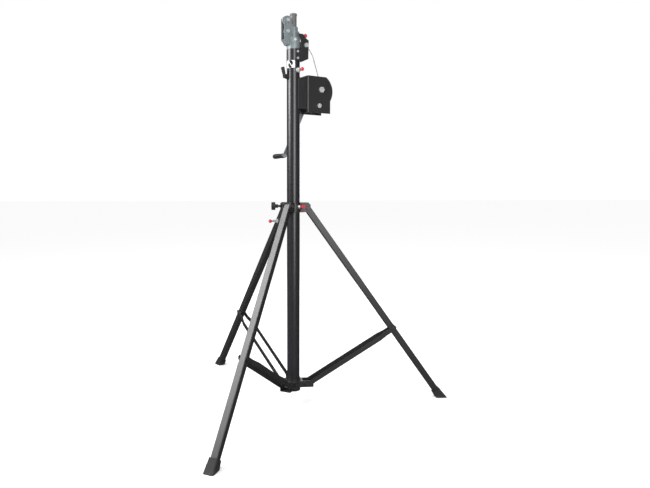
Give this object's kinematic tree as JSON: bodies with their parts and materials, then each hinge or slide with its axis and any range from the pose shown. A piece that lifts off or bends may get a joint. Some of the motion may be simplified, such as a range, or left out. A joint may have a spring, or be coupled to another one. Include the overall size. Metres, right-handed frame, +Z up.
{
  "type": "crank lighting stand",
  "caption": "Free-standing crank-up lighting stand: folding tripod, telescopic mast in stages and a geared hand winch.",
  "frame": {"origin": "on the floor, on the axis of the mast", "axes": "+Z up the mast, +X along leg 1, the winch at 24 degrees from +X towards +Y"},
  "size_m": [1.1608, 1.3382, 1.812],
  "materials": {
    "black_tube": "satin black powder coat on round tube",
    "black_steel": "satin black powder coat on sheet and square tube",
    "zinc_plate": "bright zinc plating",
    "mid_steel": "zinc-plated tube",
    "inner_steel": "dark oiled steel tube",
    "gear_steel": "oiled steel",
    "wire_rope": "galvanised wire rope",
    "red_plastic": "red moulded plastic",
    "black_plastic": "black moulded plastic",
    "bush_plastic": "natural nylon",
    "rubber": "black rubber",
    "label": "printed label, white with a plain black mark"
  },
  "bodies": {
    "mast": {"mast_tube": "black_tube", "mast_end_plug": "black_plastic", "top_sleeve": "black_tube", "mast_guide_bush": "bush_plastic", "base_collar": "black_steel", "brace_bolts": "zinc_plate", "pulley_cheeks": "black_steel", "pulley_axle": "zinc_plate", "winch_mount": "black_steel", "winch_frame": "black_steel", "mast_fasteners": "zinc_plate", "drum_axle": "zinc_plate", "pawl_pin": "zinc_plate", "mast_pin_sleeve": "zinc_plate", "clamp_boss": "black_steel", "hoist_rope": "wire_rope"},
    "head_pulley": {"head_pulley": "zinc_plate"},
    "drum": {"rope_drum": "gear_steel", "wound_rope": "wire_rope", "drum_gear": "gear_steel"},
    "crank": {"crank_shaft": "gear_steel", "ratchet_wheel": "zinc_plate", "crank_arm": "black_steel", "grip_spindle": "zinc_plate"},
    "crank_grip": {"crank_grip": "black_plastic"},
    "pawl": {"ratchet_pawl": "zinc_plate"},
    "mid_stage": {"mid_tube": "mid_steel", "mid_foot_bush": "bush_plastic", "stage_head": "zinc_plate", "head_pin_sleeve": "zinc_plate", "sheave_bolts": "zinc_plate", "lift_rope": "wire_rope"},
    "high_sheave": {"high_sheave": "zinc_plate"},
    "low_sheave": {"low_sheave": "zinc_plate"},
    "inner_stage": {"inner_tube": "inner_steel", "inner_foot_bush": "bush_plastic", "top_socket": "inner_steel"},
    "head_pull_pin": {"head_pin": "zinc_plate", "head_pin_knob": "red_plastic"},
    "mast_pull_pin": {"mast_pin": "zinc_plate", "mast_pin_knob": "red_plastic"},
    "clamp_lever": {"clamp_lever": "black_plastic"},
    "leg_collar": {"leg_collar": "black_steel", "leg_bolts": "zinc_plate", "collar_pin_sleeve": "zinc_plate"},
    "collar_pull_pin": {"collar_pin": "zinc_plate", "collar_pin_knob": "red_plastic"},
    "clamp_knob": {"clamp_knob": "black_plastic"},
    "leg_1": {"leg_1": "black_steel", "foot_1": "rubber"},
    "leg_2": {"leg_2": "black_steel", "foot_2": "rubber", "leg_pin_sleeve": "zinc_plate"},
    "leg_3": {"leg_3": "black_steel", "foot_3": "rubber"},
    "leg_pull_pin": {"leg_pin": "zinc_plate", "leg_pin_knob": "red_plastic"},
    "brace_1": {"brace_1": "black_steel"},
    "brace_2": {"brace_2": "black_steel"},
    "brace_3": {"brace_3": "black_steel"}
  },
  "joints": [
    {"name": "mast_extend", "type": "slide", "parent": "mast", "child": "mid_stage", "axis": [0, 0, 1], "range_m": [0, 0.99]},
    {"name": "inner_extend", "type": "slide", "parent": "mid_stage", "child": "inner_stage", "axis": [0, 0, 1], "range_m": [0, 0.991]},
    {"name": "drum_turn", "type": "hinge", "parent": "mast", "child": "drum", "pos_m": [0.11602, 0.05166, 1.482], "axis": [0.4067, -0.9135, 0], "range_deg": [-1990.77, 0]},
    {"name": "crank_turn", "type": "hinge", "parent": "mast", "child": "crank", "pos_m": [0.10506, 0.04677, 1.40888], "axis": [0.4067, -0.9135, 0], "range_deg": [0, 5023.57]},
    {"name": "head_pulley_turn", "type": "hinge", "parent": "mast", "child": "head_pulley", "pos_m": [0.04339, 0.01932, 1.674], "axis": [0.4067, -0.9135, 0], "range_deg": [-2663.54, 0]},
    {"name": "high_sheave_turn", "type": "hinge", "parent": "mid_stage", "child": "high_sheave", "pos_m": [-0.03362, -0.01497, 1.778], "axis": [0.4067, -0.9135, 0], "range_deg": [0, 3187.18]},
    {"name": "low_sheave_turn", "type": "hinge", "parent": "mid_stage", "child": "low_sheave", "pos_m": [-0.03362, -0.01497, 1.73], "axis": [0.4067, -0.9135, 0], "range_deg": [-5351.71, 0]},
    {"name": "crank_grip_spin", "type": "hinge", "parent": "crank", "child": "crank_grip", "pos_m": [-0.05481, 0.14527, 1.18467], "axis": [0.4067, -0.9135, 0], "continuous": true},
    {"name": "pawl_lift", "type": "hinge", "parent": "mast", "child": "pawl", "pos_m": [0.12467, 0.10476, 1.42288], "axis": [0.4067, -0.9135, 0], "range_deg": [0, 25], "stiffness_Nm_per_rad": 0.05, "springref_deg": -11.46},
    {"name": "head_pin_pull", "type": "slide", "parent": "mid_stage", "child": "head_pull_pin", "axis": [0.9135, 0.4067, 0], "range_m": [0, 0.008], "stiffness_N_per_m": 600, "springref_m": -0.003},
    {"name": "mast_pin_pull", "type": "slide", "parent": "mast", "child": "mast_pull_pin", "axis": [0.6293, -0.7771, 0], "range_m": [0, 0.008], "stiffness_N_per_m": 600, "springref_m": -0.003},
    {"name": "clamp_lever_turn", "type": "hinge", "parent": "mast", "child": "clamp_lever", "pos_m": [-0.0402, -0.0179, 1.533], "axis": [-0.9135, -0.4067, 0], "range_deg": [-75, 75]},
    {"name": "collar_slide", "type": "slide", "parent": "mast", "child": "leg_collar", "axis": [0, 0, 1], "range_m": [0, 0.36769]},
    {"name": "collar_pin_pull", "type": "slide", "parent": "leg_collar", "child": "collar_pull_pin", "axis": [0.6293, -0.7771, 0], "range_m": [0, 0.008], "stiffness_N_per_m": 600, "springref_m": -0.003},
    {"name": "clamp_knob_turn", "type": "hinge", "parent": "leg_collar", "child": "clamp_knob", "pos_m": [-0.06, 0, 0.947], "axis": [-1, 0, 0], "range_deg": [-90, 720]},
    {"name": "leg_1_fold", "type": "hinge", "parent": "leg_collar", "child": "leg_1", "pos_m": [0.064, 0, 0.938], "axis": [0, 1, 0], "range_deg": [0, 35.56]},
    {"name": "brace_1_fold", "type": "hinge", "parent": "mast", "child": "brace_1", "pos_m": [0.064, 0, 0.094], "axis": [0, -1, 0], "range_deg": [0, 58.35]},
    {"name": "leg_2_fold", "type": "hinge", "parent": "leg_collar", "child": "leg_2", "pos_m": [-0.032, 0.05543, 0.938], "axis": [-0.866, -0.5, 0], "range_deg": [0, 35.56]},
    {"name": "brace_2_fold", "type": "hinge", "parent": "mast", "child": "brace_2", "pos_m": [-0.032, 0.05543, 0.094], "axis": [0.866, 0.5, 0], "range_deg": [0, 58.35]},
    {"name": "leg_3_fold", "type": "hinge", "parent": "leg_collar", "child": "leg_3", "pos_m": [-0.032, -0.05543, 0.938], "axis": [0.866, -0.5, 0], "range_deg": [0, 35.56]},
    {"name": "brace_3_fold", "type": "hinge", "parent": "mast", "child": "brace_3", "pos_m": [-0.032, -0.05543, 0.094], "axis": [-0.866, 0.5, 0], "range_deg": [0, 58.35]},
    {"name": "leg_pin_pull", "type": "slide", "parent": "leg_2", "child": "leg_pull_pin", "axis": [-0.866, -0.5, 0], "range_m": [0, 0.008], "stiffness_N_per_m": 600, "springref_m": -0.003}
  ],
  "couplings": [
    {"joint": "inner_extend", "follows": "mast_extend", "ratio": 1},
    {"joint": "drum_turn", "follows": "mast_extend", "rad_per_m": -35.088},
    {"joint": "crank_turn", "follows": "mast_extend", "rad_per_m": 88.555},
    {"joint": "head_pulley_turn", "follows": "mast_extend", "rad_per_m": -46.948},
    {"joint": "high_sheave_turn", "follows": "mast_extend", "rad_per_m": 56.18},
    {"joint": "low_sheave_turn", "follows": "mast_extend", "rad_per_m": -94.34},
    {"joint": "leg_1_fold", "follows": "collar_slide", "rad_per_m": 1.6869},
    {"joint": "brace_1_fold", "follows": "collar_slide", "rad_per_m": 2.769},
    {"joint": "leg_2_fold", "follows": "collar_slide", "rad_per_m": 1.6869},
    {"joint": "brace_2_fold", "follows": "collar_slide", "rad_per_m": 2.769},
    {"joint": "leg_3_fold", "follows": "collar_slide", "rad_per_m": 1.6869},
    {"joint": "brace_3_fold", "follows": "collar_slide", "rad_per_m": 2.769}
  ]
}
